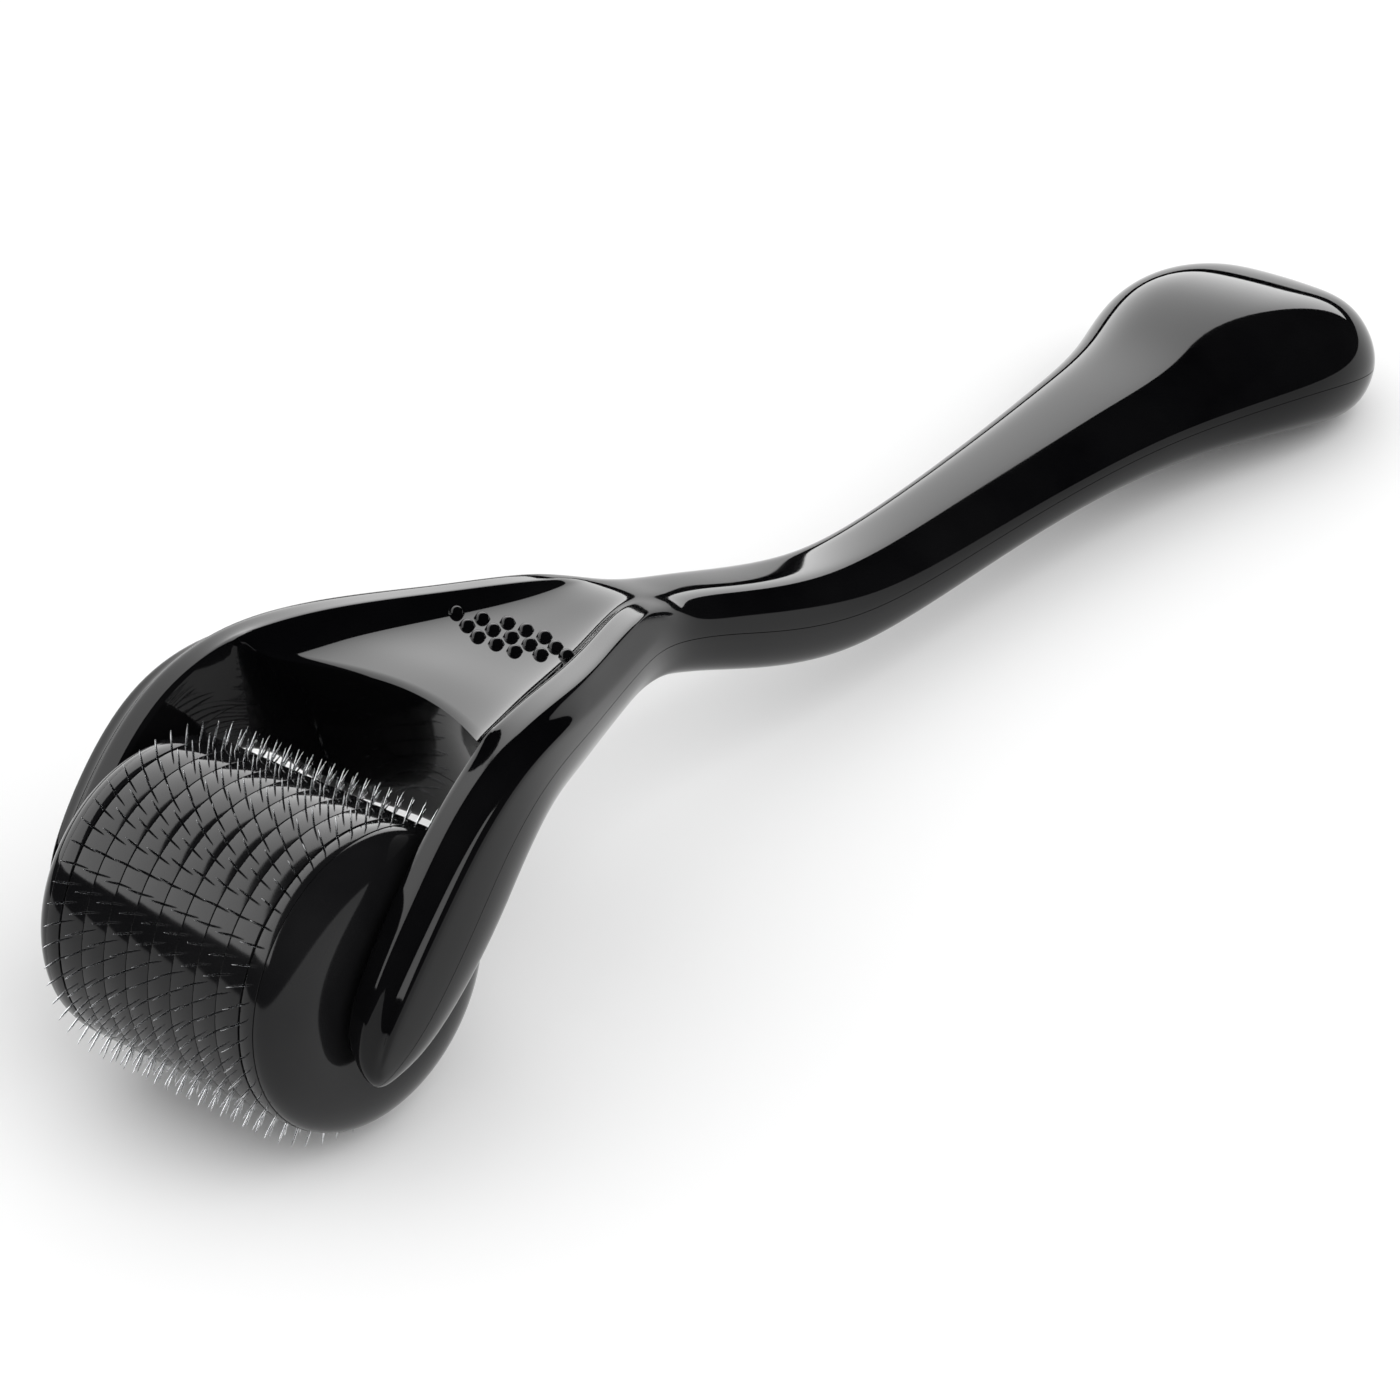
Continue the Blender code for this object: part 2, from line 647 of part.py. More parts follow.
def main():
    clear_scene()
    parts = make_collection("derma_roller")
    cutters = make_collection("cutters")
    gloss = make_material("gloss_black_shell", (0.008, 0.008, 0.009), 0.08, 0.0)
    drum_black = make_material("gloss_black_drum", (0.012, 0.012, 0.013), 0.12, 0.0)
    steel = make_material("needle_steel", (0.78, 0.79, 0.8), 0.2, 1.0)
    base = make_empty("handle_frame", parts, AXIS)
    base.rotation_euler.x = -REST_TILT
    spin = make_empty("drum_axis", parts, AXIS)
    make_handle(parts, cutters, gloss, base)
    make_discs(parts, steel, spin)
    make_spacers(parts, drum_black, spin)
    make_end_rings(parts, drum_black, spin)
    make_end_caps(parts, drum_black, spin)
    make_arbor(parts, cutters, drum_black, spin)


main()
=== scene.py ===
"""Looks for the derma roller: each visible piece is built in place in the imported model's frame.

The frame is in metres, with X along the drum's axis, +Y from the drum to the handle's tail, +Z up.
"""

import math
import random

import bmesh
import bpy
from mathutils import Matrix, Vector


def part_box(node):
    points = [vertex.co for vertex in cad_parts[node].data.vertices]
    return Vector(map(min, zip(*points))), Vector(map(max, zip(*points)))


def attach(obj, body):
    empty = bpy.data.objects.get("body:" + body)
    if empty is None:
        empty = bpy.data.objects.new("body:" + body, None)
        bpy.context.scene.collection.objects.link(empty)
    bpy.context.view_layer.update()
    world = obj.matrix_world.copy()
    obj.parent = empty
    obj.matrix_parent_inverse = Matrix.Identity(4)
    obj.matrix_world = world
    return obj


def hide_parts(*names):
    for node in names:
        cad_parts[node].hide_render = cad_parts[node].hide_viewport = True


MM = 0.001

# Where the drum's axis lies and how the handle leans on its tail, as in the CAD model
AXIS = Vector((0.0, -54.997 * MM, 12.0 * MM))
REST_TILT = math.radians(1.75)
HANDLE_PLACE = Matrix.Translation(AXIS) @ Matrix.Rotation(-REST_TILT, 4, "X")
AXIAL = Vector((1.0, 0.0, 0.0))

# Drum, as in the CAD model
NEEDLE_DISCS = 9
NEEDLES_PER_DISC = 50
DISC_PITCH = 2.0 * MM
DRUM_RADIUS = 10.5 * MM
CAP_RADIUS = 10.4 * MM
CAP_FACE_X = 11.6 * MM
CAP_FACE_RADIUS = 6.0 * MM
CAP_HUB_X = 12.0 * MM
CAP_HUB_RADIUS = 2.8 * MM
NEEDLE_LENGTH = 1.5 * MM

# Drum, finer than in the CAD model
TURNED_SEGMENTS = 192
SPACER_HALF = 0.98 * MM
RING_DEPTH = 2.5 * MM
RING_CORNER = 0.03 * MM
RING_CORNER_STEPS = 3
RING_BARREL = 0.045 * MM
RING_STATIONS = (-0.95, -0.5, 0.0, 0.5, 0.95)  # across the barrel, as shares of half its width
RING_SHARP_ANGLE = math.radians(40)
CAP_ARC_STEPS = 20
CAP_HUB_WALL = 0.8 * MM
HUB_BLEND = 0.25 * MM
HUB_BLEND_STEPS = 4
DISC_HALF_THICKNESS = 0.09 * MM
DISC_RIM = DRUM_RADIUS - 0.25 * MM
DISC_BORE = DRUM_RADIUS - 3.0 * MM
DISC_SEGMENTS = 4 * NEEDLES_PER_DISC
FIRST_NEEDLE_SEED = 11

# Needles: their sides, half thickness round and along the drum, how far one may stand off its
# true direction in degrees, and (share of the length, share of the thickness) up to the point
NEEDLE_SIDES = 8
NEEDLE_ROUND = 0.085 * MM
NEEDLE_ALONG = 0.08 * MM
NEEDLE_LEAN = 2.5
NEEDLE_SWAY = 2.0
NEEDLE_STATIONS = ((-0.35, 1.0), (0.0, 1.0), (0.35, 0.92), (0.65, 0.78), (0.85, 0.5), (0.95, 0.22))
NEEDLE_TIP = 0.998
NEEDLE_SHARP_ANGLE = math.radians(60)

# Spine stations of the grip in millimetres, from the tail to the neck, measured from the drum's
# axis: along Y, up Z, half width, height above the seam, depth below the seam.
GRIP_STATIONS = [
    (121.4, -5.3, 4.8, 2.4, 2.5),
    (119.2, -4.6, 8.3, 4.45, 4.1),
    (114.6, -3.3, 10.7, 5.35, 5.0),
    (108.0, -1.9, 10.5, 5.3, 4.6),
    (100.5, -2.1, 7.5, 3.7, 3.7),
    (92.5, -1.65, 6.1, 3.05, 3.2),
    (84.0, -1.65, 5.15, 2.7, 3.0),
    (75.0, -1.9, 4.5, 2.7, 3.1),
    (66.0, -2.15, 4.15, 2.8, 3.3),
    (58.0, -1.6, 3.95, 3.0, 3.65),
    (50.0, 0.9, 4.0, 2.95, 3.4),
    (43.5, 3.7, 3.85, 2.65, 3.25),
    (38.5, 5.5, 3.85, 2.5, 3.1),
]

# Stations of the head behind the drum: along Y, up Z, half width, rim height above the seam,
# depth of the sides, depth of the middle, half width of the thumb pad, drop of the pad, and how
# far the shoulder outside the rim is raised into a second ridge (0 to 1).
HEAD_STATIONS = [
    (34.6, 6.8, 5.1, 3.05, 3.3, 3.4, 1.9, -0.05, 0.0),
    (30.6, 7.6, 6.8, 3.2, 3.3, 3.8, 3.4, 0.8, 0.0),
    (26.0, 8.3, 8.7, 3.2, 3.4, 4.7, 5.4, 1.2, 0.0),
    (21.0, 9.1, 10.9, 3.35, 3.5, 6.2, 7.3, 1.6, 0.1),
    (16.0, 9.8, 12.9, 3.6, 3.7, 8.2, 8.9, 2.0, 0.55),
    (11.4, 9.7, 14.6, 4.1, 4.0, 10.6, 10.4, 2.1, 0.95),
]

# Stations of the fork's arms, down to their tips: along Y, up Z, inner X, outer X, up, down.
ARM_STATIONS = [
    (7.4, 8.0, 12.1, 15.75, 4.8, 4.1),
    (3.7, 4.3, 12.35, 16.1, 5.2, 4.0),
    (0.0, 0.0, 12.35, 15.9, 5.2, 3.2),
    (-2.4, -2.2, 12.4, 15.5, 4.2, 2.6),
    (-4.1, -3.7, 12.6, 14.7, 2.3, 1.8),
]

# Columns of a grip section, from the top middle round the side to the bottom middle:
# fraction of the half width, fraction of the height above or the depth below the seam.
GRIP_COLUMNS = [
    (0.0, 1.04), (0.28, 1.03), (0.5, 1.0), (0.68, 0.9), (0.83, 0.72), (0.95, 0.48), (1.02, 0.24),
    (1.05, 0.0),
    (1.03, -0.3), (0.98, -0.57), (0.88, -0.8), (0.73, -0.95), (0.52, -1.03), (0.27, -1.06), (0.0, -1.07),
]
SIDE_COLUMN = 7
PAD_COLUMNS = 3
# Columns of the head and the arms whose edges stay crisp, with their crease weights.
CREASES = {2: 0.2, 3: 0.6, 4: 0.4, 6: 0.4}
LIP_CREASE = 0.7
# Columns of an arm's ring whose faces belong to the lower half, and the two that lie on the seam.
LOWER_ARM_COLUMNS = range(4, 9)
ARM_OUTER_COLUMN = 4
ARM_INNER_COLUMN = 9

# Handle, in millimetres: how far the head's front edge bows back in the middle, the underside's
# share of that, and how many steps between the last stations it grows over, then the rim's width,
# the tail end (along Y, up Z), and the wall's corner (out from the pad, up from the seam).
PAD_ARC = 3.9
UNDERSIDE_ARC_SHARE = 0.65
ARC_STATIONS = 2
RIM_WIDTH = 2.2
TAIL_CAP = (122.1, -5.55)
WALL_CORNER = (0.45, -0.6)

# Handle, in metres
TAIL_CORNER_SETBACK = 0.35 * MM
ARM_TIP_BULGE = Vector((0.0, -0.55 * MM, -0.5 * MM))
MIRROR_MERGE = 0.0001
SHELL_LEVELS = 3
SEAM_LINE = 0.05 * MM
SEAM_DEPTH = 0.8 * MM
SHELL_SHARP_ANGLE = math.radians(50)
TOP, BOTTOM = 0, 1

# Bumps on the thumb pad
BUMP_COLUMNS = (1, 2, 3, 3, 3, 2, 1)
BUMP_RADIUS = 0.56 * MM
BUMP_HEIGHT = 0.5 * MM
BUMP_PITCH_X = 1.65 * MM
BUMP_PITCH_Y = 1.5 * MM
BUMP_CENTRE_Y = 24.4 * MM
BUMP_RINGS = 12
BUMP_SEGMENTS = 28
BUMP_FOOT_RADIUS = 1.25 * BUMP_RADIUS
BUMP_FOOT_SINK = 0.05 * MM
BUMP_SINK = 0.02 * MM
BUMP_TOP_POWER = 2.6
BUMP_EDGE_POWER = 0.75
BUMP_CAST_HEIGHT = 40 * MM

# Camera: its turn and height about the drum, and where it has the drum's middle: right, down, ahead
CAMERA_AZIMUTH = math.radians(39.7)
CAMERA_ELEVATION = math.radians(28.1)
CAMERA_PITCH = math.radians(3.1) + REST_TILT
CAMERA_OFFSET = Vector((-28.5 * MM, 15.1 * MM, 325.6 * MM))
CAMERA_CLIP = (0.01, 10.0)
SENSOR_WIDTH = 36.0
FOCAL_LENGTH = 25 / 7 * SENSOR_WIDTH

# Stage: half the floor's width, then each light's place, size and brightness
FLOOR_HALF_WIDTH = 3.0
SKY_STRENGTH = 0.92
SOFTBOX_CENTRE = (-2.16, 2.0, 0.5)
SOFTBOX_SIZE = (3.68, 6.0)
SOFTBOX_RADIANCE = 4.0
FILL_CENTRE = (0.9, -0.1, 0.9)
FILL_SIZE = (1.2, 1.2)
FILL_TURN = math.radians(45)
FILL_RADIANCE = 1.7


# ---------------------------------------------------------------- materials

def new_material(name):
    """A material, its node tree, its shader and the coordinates that its textures follow."""
    material = bpy.data.materials.new(name)
    material.use_nodes = True
    tree = material.node_tree
    coords = tree.nodes.new("ShaderNodeTexCoord").outputs["Object"]
    return material, tree, tree.nodes["Principled BSDF"], coords


def noise(tree, coords, scale, detail):
    texture = tree.nodes.new("ShaderNodeTexNoise")
    texture.inputs["Scale"].default_value = scale
    texture.inputs["Detail"].default_value = detail
    tree.links.new(coords, texture.inputs["Vector"])
    return texture.outputs["Fac"]


def ramp(tree, value, low, high, from_low=0.35, from_high=0.65):
    mapped = tree.nodes.new("ShaderNodeMapRange")
    mapped.inputs["From Min"].default_value = from_low
    mapped.inputs["From Max"].default_value = from_high
    mapped.inputs["To Min"].default_value = low
    mapped.inputs["To Max"].default_value = high
    tree.links.new(value, mapped.inputs["Value"])
    return mapped.outputs["Result"]


def tint(tree, share, dark, light):
    mixed = tree.nodes.new("ShaderNodeMix")
    mixed.data_type = "RGBA"
    mixed.inputs["A"].default_value = (*dark, 1.0)
    mixed.inputs["B"].default_value = (*light, 1.0)
    tree.links.new(share, mixed.inputs["Factor"])
    return mixed.outputs["Result"]


def relief(tree, height, strength, distance, below=None):
    raised = tree.nodes.new("ShaderNodeBump")
    raised.inputs["Strength"].default_value = strength
    raised.inputs["Distance"].default_value = distance
    tree.links.new(height, raised.inputs["Height"])
    if below:
        tree.links.new(below, raised.inputs["Normal"])
    return raised.outputs["Normal"]


def glossy_plastic(name, dark, light, smooth, worn, gloss_index):
    """Black moulded plastic: near-mirror gloss, faint flow waves, a few hazy handled patches."""
    material, tree, shader, coords = new_material(name)
    shade = tint(tree, ramp(tree, noise(tree, coords, scale=90, detail=4), 0.0, 1.0), dark, light)
    tree.links.new(shade, shader.inputs["Base Color"])
    haze = ramp(tree, noise(tree, coords, scale=60, detail=6), smooth, worn, from_low=0.45, from_high=0.75)
    tree.links.new(haze, shader.inputs["Roughness"])
    waves = noise(tree, coords, scale=220, detail=2)
    flow = relief(tree, waves, strength=0.05, distance=0.02 * MM)
    specks = noise(tree, coords, scale=4000, detail=2)
    grain = relief(tree, specks, strength=0.02, distance=0.01 * MM, below=flow)
    tree.links.new(grain, shader.inputs["Normal"])
    shader.inputs["IOR"].default_value = gloss_index
    return material


def needle_steel(name):
    """Bright stamped steel whose colour and polish vary slightly over each needle."""
    material, tree, shader, coords = new_material(name)
    share = ramp(tree, noise(tree, coords, scale=1500, detail=3), 0.0, 1.0)
    shade = tint(tree, share, dark=(0.62, 0.63, 0.65), light=(0.9, 0.91, 0.92))
    tree.links.new(shade, shader.inputs["Base Color"])
    polish = ramp(tree, noise(tree, coords, scale=2500, detail=3), 0.16, 0.3)
    tree.links.new(polish, shader.inputs["Roughness"])
    grain = relief(tree, noise(tree, coords, scale=6000, detail=2), strength=0.1, distance=0.01 * MM)
    tree.links.new(grain, shader.inputs["Normal"])
    shader.inputs["Metallic"].default_value = 1.0
    return material


def pale_floor(name):
    material, tree, shader, coords = new_material(name)
    shader.inputs["Base Color"].default_value = (0.93, 0.93, 0.93, 1.0)
    haze = ramp(tree, noise(tree, coords, scale=30, detail=3), 0.7, 0.8)
    tree.links.new(haze, shader.inputs["Roughness"])
    shader.inputs["Specular IOR Level"].default_value = 0.1
    return material


# ---------------------------------------------------------------- mesh helpers

def object_from_bmesh(name, form, material, smooth_angle=None):
    mesh = bpy.data.meshes.new(name)
    form.to_mesh(mesh)
    form.free()
    mesh.materials.append(material)
    mesh.shade_smooth()
    if smooth_angle is not None:
        mesh.set_sharp_from_angle(angle=smooth_angle)
    item = bpy.data.objects.new(name, mesh)
    bpy.context.scene.collection.objects.link(item)
    return item


def circle_points(radius, count):
    angles = [2 * math.pi * i / count for i in range(count)]
    return [(radius * math.cos(angle), radius * math.sin(angle)) for angle in angles]


def add_band(form, near, far):
    """Quads all the way round between two closed loops of as many vertices."""
    for i in range(len(near)):
        following = (i + 1) % len(near)
        form.faces.new((near[i], near[following], far[following], far[i]))


def add_fan(form, loop, point):
    """Triangles from a closed loop of vertices to one point."""
    for i in range(len(loop)):
        form.faces.new((loop[i], loop[(i + 1) % len(loop)], point))


# ---------------------------------------------------------------- handle

def spine_normals(points):
    """Unit normals, pointing up, of a chain of (y, z) points that runs towards the drum."""
    normals = []
    for i in range(len(points)):
        before = Vector(points[max(i - 1, 0)])
        after = Vector(points[min(i + 1, len(points) - 1)])
        along = (before - after).normalized()
        normals.append(Vector((-along.y, along.x)))
    return normals


def head_columns(half_width, rim, side_depth, middle_depth, pad, drop, shoulder):
    """A head section's (x, height) columns, in the order of GRIP_COLUMNS."""
    rim_inner = pad + 0.55
    rim_outer = min(rim_inner + RIM_WIDTH, half_width - 0.9)
    return [
        (0.0, rim - drop), (0.55 * pad, rim - drop), (0.94 * pad, rim - 0.82 * drop),
        (rim_inner, rim), (rim_outer, rim - 0.05),
        (half_width - 0.55 - 0.3 * shoulder, rim - 0.95 - 0.15 * shoulder),
        (half_width - 0.05, rim - 2.1 + 1.1 * shoulder),
        (half_width, 0.0),
        (half_width - 0.25, -0.45 * side_depth), (half_width - 0.9, -0.85 * side_depth),
        (rim_outer - 0.3, -side_depth), (rim_inner, -0.45 * side_depth - 0.55 * middle_depth),
        (0.8 * pad, -middle_depth), (0.4 * pad, -middle_depth), (0.0, -middle_depth),
    ]


def arm_columns(inner, outer, up, down):
    """An arm section's columns from the rim's inner edge round to the inner face's middle."""
    width = outer - inner
    return [
        (inner, up - 0.15), (inner + 0.52 * width, up), (inner + 0.68 * width, up - 1.05),
        (outer + 0.05, up - 0.85),
        (outer - 0.15, 0.0),
        (outer - 0.65, -0.5 * down), (outer - 1.25, -0.85 * down), (inner + 0.45 * width, -down),
        (inner + 0.1, -0.95 * down),
        (inner, 0.0),
    ]


def add_quad(form, corners, half):
    form.faces.new(corners).material_index = half


def grip_rings(place):
    return [
        [
            place(index, across * width, height * (up if height > 0 else down))
            for across, height in GRIP_COLUMNS
        ]
        for index, (_, _, width, up, down) in enumerate(GRIP_STATIONS)
    ]


def head_rings(place):
    """The head's sections, the last of them bowed back in the middle behind the drum."""
    rings = []
    for offset, (_, _, *section) in enumerate(HEAD_STATIONS):
        columns = head_columns(*section)
        pad = section[4]
        share = max(0, offset - (len(HEAD_STATIONS) - 1 - ARC_STATIONS)) / ARC_STATIONS
        ring = []
        for number, (across, height) in enumerate(columns):
            inside = number < PAD_COLUMNS or number >= len(columns) - PAD_COLUMNS
            reach = PAD_ARC * share * (1.0 if number < PAD_COLUMNS else UNDERSIDE_ARC_SHARE)
            back = reach * (1 - (across / pad) ** 2) if inside else 0.0
            ring.append(place(len(GRIP_STATIONS) + offset, across, height, back))
        rings.append(ring)
    return rings


def close_tail(form, tail):
    """The tail end, closed across with a middle row on the seam."""
    last = len(tail) - 1
    side = tail[SIDE_COLUMN]
    middle = []
    for j in range(SIDE_COLUMN - 1):
        across = tail[j].co.x
        setback = TAIL_CORNER_SETBACK * (across / side.co.x) ** 2
        middle.append(form.verts.new((across, TAIL_CAP[0] * MM - setback, TAIL_CAP[1] * MM)))
    middle.append(side)
    for j in range(SIDE_COLUMN - 1):
        add_quad(form, (tail[j], middle[j], middle[j + 1], tail[j + 1]), TOP)
        add_quad(form, (tail[last - j], tail[last - j - 1], middle[j + 1], middle[j]), BOTTOM)


def close_arm_tip(form, tip):
    """The rounded end of an arm, from its last ring."""
    inner = tip[ARM_INNER_COLUMN]
    outer = tip[ARM_OUTER_COLUMN]
    step = (outer.co - inner.co) / 3
    first = form.verts.new(inner.co + step + ARM_TIP_BULGE)
    second = form.verts.new(inner.co + step * 2 + ARM_TIP_BULGE)
    add_quad(form, (tip[0], tip[1], first, inner), TOP)
    add_quad(form, (tip[1], tip[2], second, first), TOP)
    add_quad(form, (tip[2], tip[3], outer, second), TOP)
    add_quad(form, (inner, first, tip[7], tip[8]), BOTTOM)
    add_quad(form, (first, second, tip[6], tip[7]), BOTTOM)
    add_quad(form, (second, outer, tip[5], tip[6]), BOTTOM)


def add_wall(form, front, corner):
    """The wall behind the drum, between the pad's front edge and the underside."""
    last = len(front) - 1
    wall = []
    for j in range(PAD_COLUMNS):
        top = front[j].co
        middle = (top + front[last - j].co) / 2
        wall.append(form.verts.new((top.x, middle.y, middle.z)))
    wall.append(corner)
    for j in range(PAD_COLUMNS):
        add_quad(form, (front[j], front[j + 1], wall[j + 1], wall[j]), TOP)
        add_quad(form, (front[last - j], wall[j], wall[j + 1], front[last - j - 1]), BOTTOM)


def set_creases(form, head, arms):
    """Crease weights that keep the rims' ridges and the pad's front lip crisp."""
    crease = form.edges.layers.float.new("crease_edge")
    for column, weight in CREASES.items():
        chains = [(head, column)]
        if column >= PAD_COLUMNS:
            chains.append((arms, column - PAD_COLUMNS))
        for rings, place in chains:
            for near, far in zip(rings, rings[1:]):
                form.edges.get((near[place], far[place]))[crease] = weight
    front = head[-1]
    for j in range(PAD_COLUMNS):
        form.edges.get((front[j], front[j + 1]))[crease] = LIP_CREASE


def handle_cage():
    """The right half of the handle's control cage, with each face marked TOP or BOTTOM."""
    form = bmesh.new()
    points = [station[:2] for station in GRIP_STATIONS + HEAD_STATIONS + ARM_STATIONS]
    normals = spine_normals(points)

    def place(index, across, height, back=0.0):
        centre = Vector(points[index]) + normals[index] * height + Vector((back, 0.0))
        return form.verts.new((across * MM, centre.x * MM, centre.y * MM))

    grip = grip_rings(place)
    head = head_rings(place)
    rings = grip + head
    for near, far in zip(rings, rings[1:]):
        for j in range(len(near) - 1):
            half = TOP if j < SIDE_COLUMN else BOTTOM
            add_quad(form, (near[j], near[j + 1], far[j + 1], far[j]), half)
    close_tail(form, grip[0])

    front = head[-1]
    first_arm = len(rings)
    pad = HEAD_STATIONS[-1][6]
    corner = place(first_arm - 1, pad + WALL_CORNER[0], WALL_CORNER[1])
    arms = [front[PAD_COLUMNS:len(front) - PAD_COLUMNS] + [corner]]
    for offset, (_, _, *section) in enumerate(ARM_STATIONS):
        arms.append([place(first_arm + offset, across, height) for across, height in arm_columns(*section)])
    for near, far in zip(arms, arms[1:]):
        for j in range(len(near)):
            following = (j + 1) % len(near)
            half = BOTTOM if j in LOWER_ARM_COLUMNS else TOP
            add_quad(form, (near[j], near[following], far[following], far[j]), half)
    close_arm_tip(form, arms[-1])
    add_wall(form, front, corner)
    set_creases(form, head, arms)
    return form


def smooth_body():
    """The whole handle's smooth surface, mirrored and subdivided, as a mesh in its place."""
    form = handle_cage()
    bmesh.ops.recalc_face_normals(form, faces=form.faces)
    mesh = bpy.data.meshes.new("body_cage")
    form.to_mesh(mesh)
    form.free()
    for half in ("top", "bottom"):
        mesh.materials.append(bpy.data.materials.new("mark_" + half))
    cage = bpy.data.objects.new("body_cage", mesh)
    bpy.context.scene.collection.objects.link(cage)
    mirror = cage.modifiers.new("Mirror", "MIRROR")
    mirror.merge_threshold = MIRROR_MERGE
    mirror.use_clip = True
    rounding = cage.modifiers.new("Subdivision", "SUBSURF")
    rounding.levels = SHELL_LEVELS
    rounding.render_levels = SHELL_LEVELS
    bpy.context.view_layer.update()
    graph = bpy.context.evaluated_depsgraph_get()
    body = bpy.data.meshes.new_from_object(cage.evaluated_get(graph))
    bpy.data.objects.remove(cage)
    bpy.data.meshes.remove(mesh)
    body.transform(HANDLE_PLACE)
    return body


def face_outwards(form):
    bmesh.ops.recalc_face_normals(form, faces=form.faces)
    if form.calc_volume(signed=True) < 0:
        bmesh.ops.reverse_faces(form, faces=form.faces)
    form.normal_update()


def shell_from_body(name, body, half, material):
    """One half of the handle, with its edge drawn back from the seam and turned in."""
    form = bmesh.new()
    form.from_mesh(body)
    face_outwards(form)
    normals = [vert.normal.copy() for vert in form.verts]
    source = form.verts.layers.int.new("source")
    for number, vert in enumerate(form.verts):
        vert[source] = number
    other = [face for face in form.faces if face.material_index != half]
    bmesh.ops.delete(form, geom=other, context="FACES")
    for face in form.faces:
        face.material_index = 0
    border = [edge for edge in form.edges if edge.is_boundary]
    rim = {vert for edge in border for vert in edge.verts}
    for vert in rim:
        inner = [edge.other_vert(vert) for edge in vert.link_edges if edge.other_vert(vert) not in rim]
        if inner:
            vert.co += (inner[0].co - vert.co).normalized() * SEAM_LINE / 2
    made = bmesh.ops.extrude_edge_only(form, edges=border)
    for vert in made["geom"]:
        if isinstance(vert, bmesh.types.BMVert):
            vert.co -= normals[vert[source]] * SEAM_DEPTH
    for vert in form.verts:
        vert.co.z = max(vert.co.z, 0.0)
    bmesh.ops.recalc_face_normals(form, faces=form.faces)
    highest = max(form.verts, key=lambda vert: vert.co.z)
    if highest.normal.dot(normals[highest[source]]) < 0:
        bmesh.ops.reverse_faces(form, faces=form.faces)
    return object_from_bmesh(name, form, material, SHELL_SHARP_ANGLE)


def dome_height(radius):
    """How far a bump stands up at a distance from its middle."""
    core = min(1.0, radius / BUMP_RADIUS)
    return BUMP_HEIGHT * (1 - core ** BUMP_TOP_POWER) ** BUMP_EDGE_POWER - BUMP_SINK


def add_bump(form, place, turn):
    """One low dome, from its top out to a foot that is sunk in the pad."""
    top = form.verts.new(place + turn @ Vector((0.0, 0.0, dome_height(0.0))))
    loops = []
    for ring in range(1, BUMP_RINGS + 1):
        radius = BUMP_FOOT_RADIUS * ring / BUMP_RINGS
        height = dome_height(radius) if ring < BUMP_RINGS else -BUMP_FOOT_SINK
        loops.append([
            form.verts.new(place + turn @ Vector((across, along, height)))
            for across, along in circle_points(radius, BUMP_SEGMENTS)
        ])
    add_fan(form, loops[0], top)
    for inner, outer in zip(loops, loops[1:]):
        add_band(form, outer, inner)


def bump_piece(surface, material):
    """The raised dots on the thumb pad, set on the handle's surface and square to it."""
    form = bmesh.new()
    for column, count in enumerate(BUMP_COLUMNS):
        x = (column - (len(BUMP_COLUMNS) - 1) / 2) * BUMP_PITCH_X
        for row in range(count):
            y = BUMP_CENTRE_Y + (row - (count - 1) / 2) * BUMP_PITCH_Y
            above = HANDLE_PLACE @ Vector((x, y, BUMP_CAST_HEIGHT))
            _, place, normal, _ = surface.ray_cast(above, Vector((0.0, 0.0, -1.0)))
            if normal.z < 0:
                normal = -normal
            add_bump(form, place, Vector((0.0, 0.0, 1.0)).rotation_difference(normal).to_matrix())
    bmesh.ops.recalc_face_normals(form, faces=form.faces)
    return object_from_bmesh("thumb_pad_bumps", form, material)


# ---------------------------------------------------------------- drum

def add_turned(form, profile, segments):
    """A closed half section of (radius, x) points turned about the drum's axis."""
    loops = []
    for i in range(segments):
        angle = 2 * math.pi * i / segments
        loops.append([
            form.verts.new(AXIS + Vector((x, radius * math.cos(angle), radius * math.sin(angle))))
            for radius, x in profile
        ])
    for here, there in zip(loops, loops[1:] + loops[:1]):
        add_band(form, here, there)


def turned_piece(name, profile, material):
    form = bmesh.new()
    add_turned(form, profile, TURNED_SEGMENTS)
    bmesh.ops.recalc_face_normals(form, faces=form.faces)
    return object_from_bmesh(name, form, material, RING_SHARP_ANGLE)


def rounded_corner(centre_radius, centre_x, size, start, end, steps):
    points = []
    for i in range(steps + 1):
        angle = start + (end - start) * i / steps
        points.append((centre_radius + size * math.sin(angle), centre_x + size * math.cos(angle)))
    return points


def ring_profile(low_x, high_x):
    """A ring with a slight barrel, whose two outer edges are softly rounded."""
    inner = DRUM_RADIUS - RING_DEPTH
    outer = DRUM_RADIUS - RING_BARREL - RING_CORNER
    middle = (low_x + high_x) / 2
    reach = (high_x - low_x) / 2 - RING_CORNER
    quarter = math.pi / 2
    profile = [(inner, low_x)]
    profile += rounded_corner(
        outer, low_x + RING_CORNER, RING_CORNER, 2 * quarter, quarter, RING_CORNER_STEPS
    )
    for share in RING_STATIONS:
        profile.append((DRUM_RADIUS - RING_BARREL * share ** 2, middle + share * reach))
    profile += rounded_corner(
        outer, high_x - RING_CORNER, RING_CORNER, quarter, 0.0, RING_CORNER_STEPS
    )
    profile.append((inner, high_x))
    return profile


